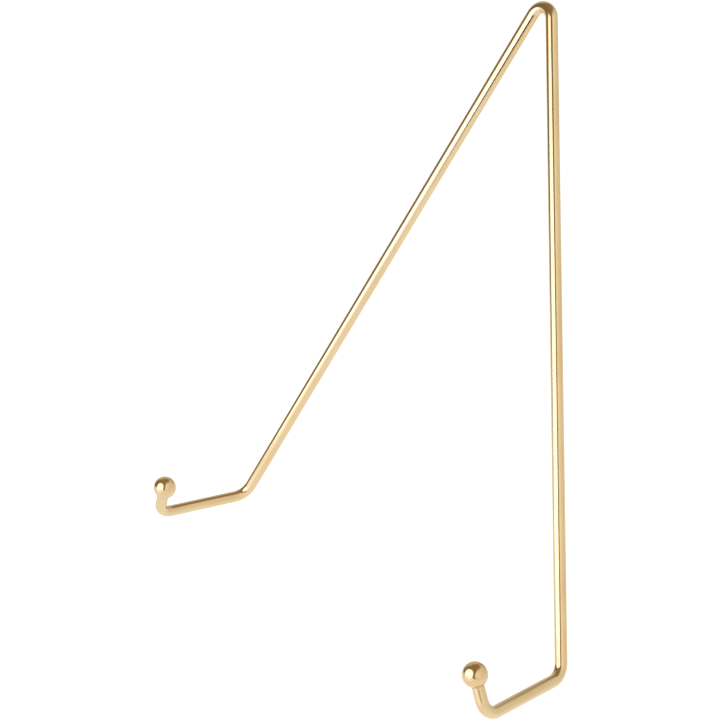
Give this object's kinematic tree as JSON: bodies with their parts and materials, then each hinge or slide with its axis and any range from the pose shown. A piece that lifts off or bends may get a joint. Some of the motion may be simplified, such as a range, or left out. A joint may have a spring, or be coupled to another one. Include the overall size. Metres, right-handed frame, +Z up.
{
  "type": "display easel",
  "caption": "Table easel of bent round brass wire: a leaning face with ball-tipped hooks at its foot for a plate, book or picture, and a rear leg brazed to its apex.",
  "frame": {"origin": "on the table, under the middle of the easel's width and depth", "axes": "+Z up, -Y towards the viewer of the displayed piece, +X to that viewer's right"},
  "size_m": [0.2194, 0.1557, 0.2422],
  "materials": {
    "wire_brass": "polished and lacquered, with faint drawing lines along the wire",
    "rear_wire_brass": "polished and lacquered, with faint drawing lines along the wire",
    "ball_brass": "polished and lacquered, turned smooth",
    "braze_alloy": "filler metal, cleaned and polished with the joint"
  },
  "bodies": {
    "root": {"front_wire": "wire_brass", "rear_leg": "rear_wire_brass", "left_ball": "ball_brass", "right_ball": "ball_brass", "left_ball_braze": "braze_alloy", "right_ball_braze": "braze_alloy", "apex_braze": "braze_alloy"}
  },
  "joints": []
}
